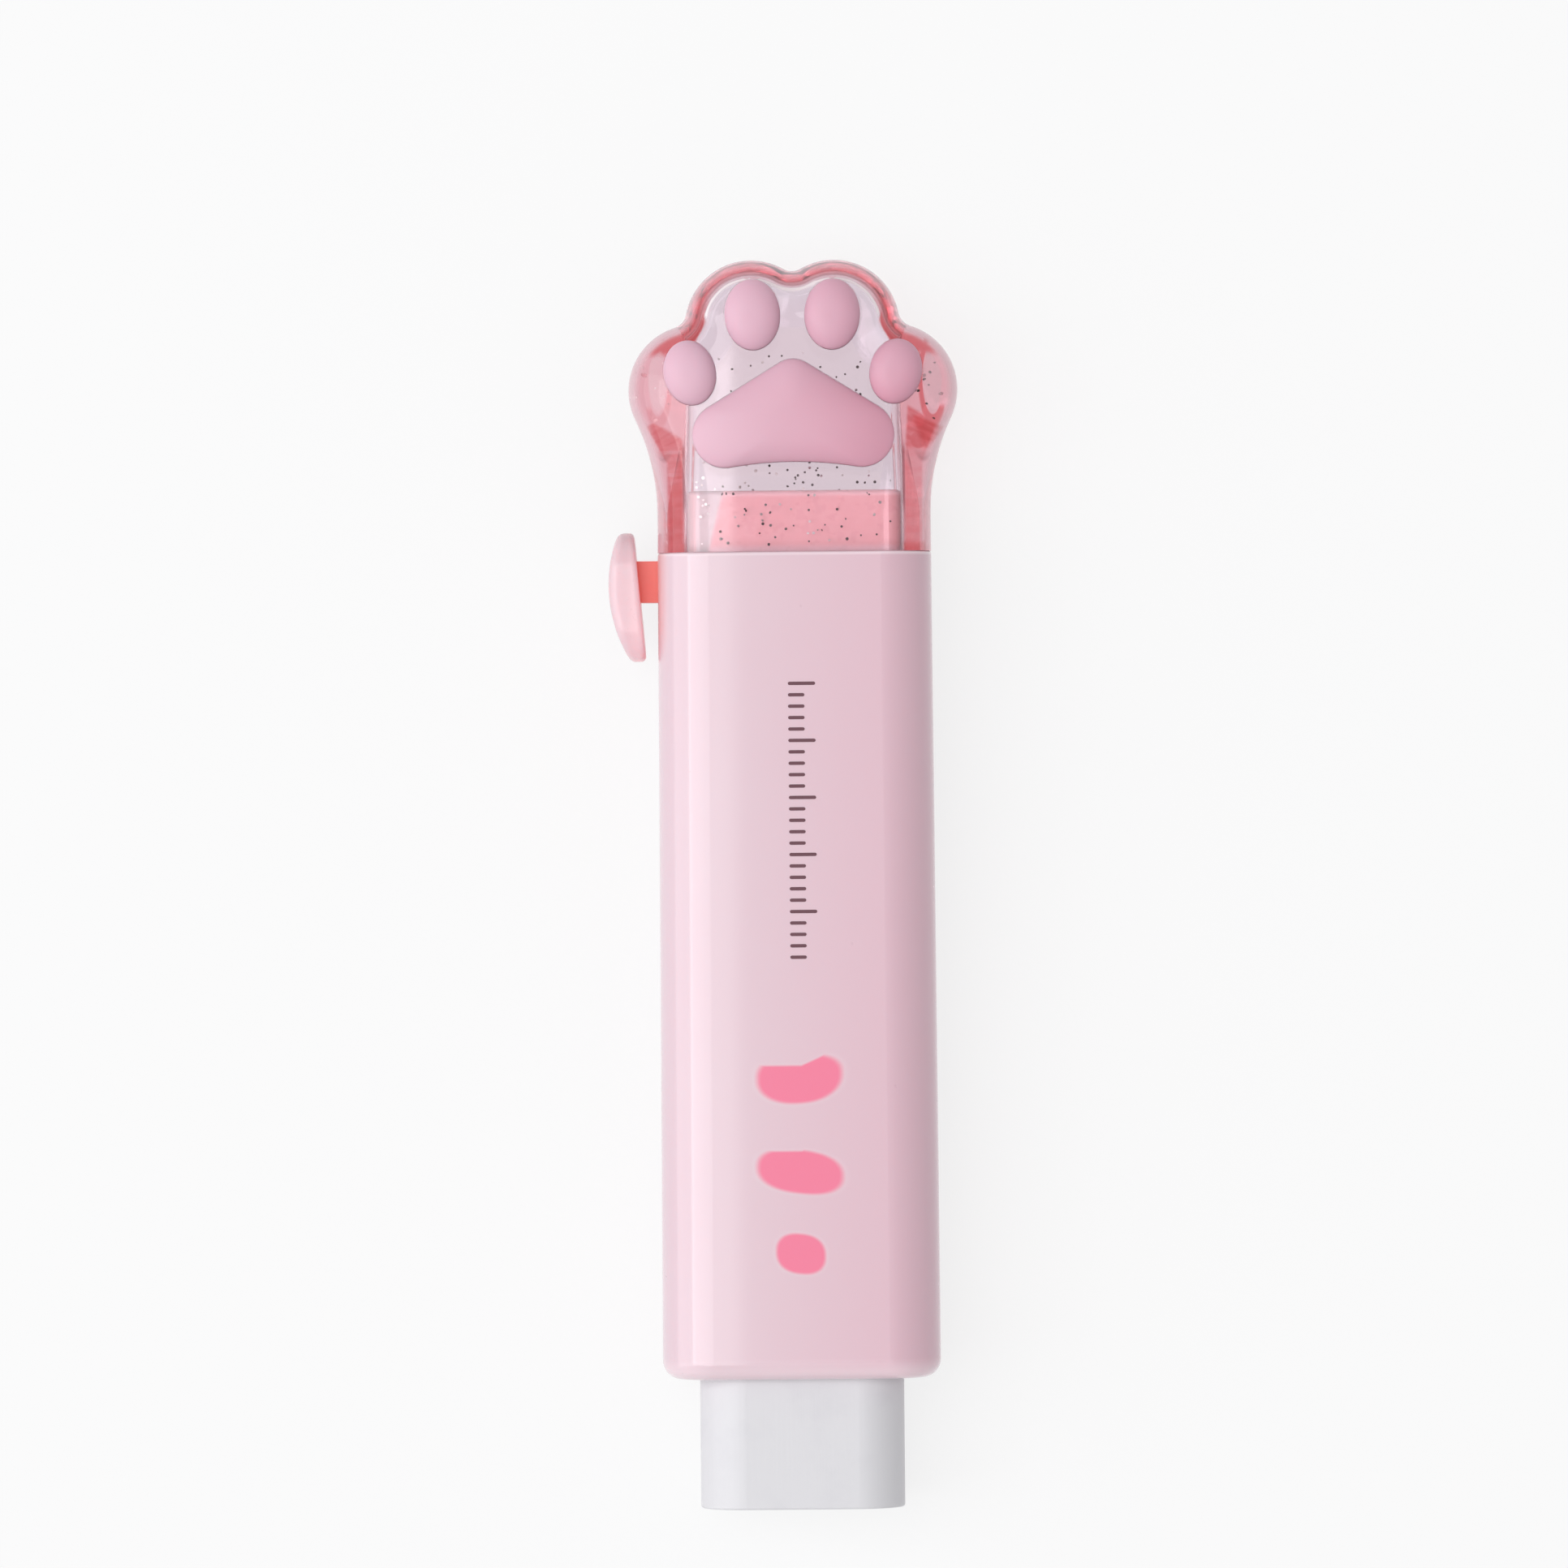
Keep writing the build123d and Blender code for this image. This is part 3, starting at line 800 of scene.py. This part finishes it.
material, tree, place = start("floor_white")
matte = tree.node("ShaderNodeBsdfDiffuse", {}, {"Color": (0.88, 0.88, 0.89, 1.0), "Roughness": 0.6})
white = tree.node("ShaderNodeEmission", {}, {"Color": (1.0, 1.0, 1.0, 1.0), "Strength": 1.0})
own_white = seen_directly(tree) * 0.8
close(tree, tree.node("ShaderNodeMixShader", {}, {0: own_white, 1: matte, 2: white}))
floor_corners = np.array([[-1, -1, 0], [1, -1, 0], [1, 1, 0], [-1, 1, 0]]) * [floor_half, floor_half, 0]
floor = piece("floor", floor_corners, [[0, 1, 2, 3]], material, smooth=False)


# Light
# A wide softbox overhead and to the left, whose right edge ends just short of the camera, a large dim
# one low on the left, and an even grey all round.
def softbox(name, middle, size, painted_glint, turn=0.0):
    """A rectangular lamp that faces down, turned about Y by turn.

    Each of its points is as bright as this times white.
    """
    lamp = bpy.data.lights.new(name, "AREA")
    lamp.shape = "RECTANGLE"
    lamp.size, lamp.size_y = size
    lamp.energy = painted_glint * math.pi * size[0] * size[1]
    holder = bpy.data.objects.new(name, lamp)
    holder.location = middle
    holder.rotation_euler = (0, turn, 0)
    bpy.context.scene.collection.objects.link(holder)


lamp_height = 1.2
key_right = -0.011
key_left = -1.35
key_middle = ((key_left + key_right) / 2, 0.0, lamp_height)
softbox("key", key_middle, size=(key_right - key_left, 0.9), painted_glint=2.7)
softbox("side", (-1.6, 0.0, 0.75), size=(1.5, 1.4), painted_glint=1.1, turn=math.radians(-65))

world = bpy.data.worlds.new("studio")
bpy.context.scene.world = world
world.use_nodes = True
world.node_tree.nodes.clear()
sky = Wire(world.node_tree)
level = seen_directly(sky) * 0.55 + 0.45
room = sky.node("ShaderNodeBackground", {}, {"Color": (1.0, 1.0, 1.0, 1.0), "Strength": level})
sky.node("ShaderNodeOutputWorld", {}, {"Surface": room})


# Camera
# It looks straight down on the stick from about 0.9 m, turned a little so that the stick leans as it
# does in the photograph.
photo_pixels = 1932
pixels_per_mm = 14.06
camera_height = 0.9
lean = math.radians(0.54)
view_middle = (-1.11 * MM, 15.94 * MM)

view = bpy.data.cameras.new("camera")
view.sensor_width = 36.0
view.lens = view.sensor_width * camera_height / (photo_pixels / pixels_per_mm * MM)
view.clip_start = 0.01
view.clip_end = 20.0
camera = bpy.data.objects.new("camera", view)
camera.location = (*view_middle, case_high[2] + camera_height)
camera.rotation_euler = (0, 0, -lean)
bpy.context.scene.collection.objects.link(camera)
bpy.context.scene.camera = camera
bpy.context.scene.view_settings.view_transform = "Standard"
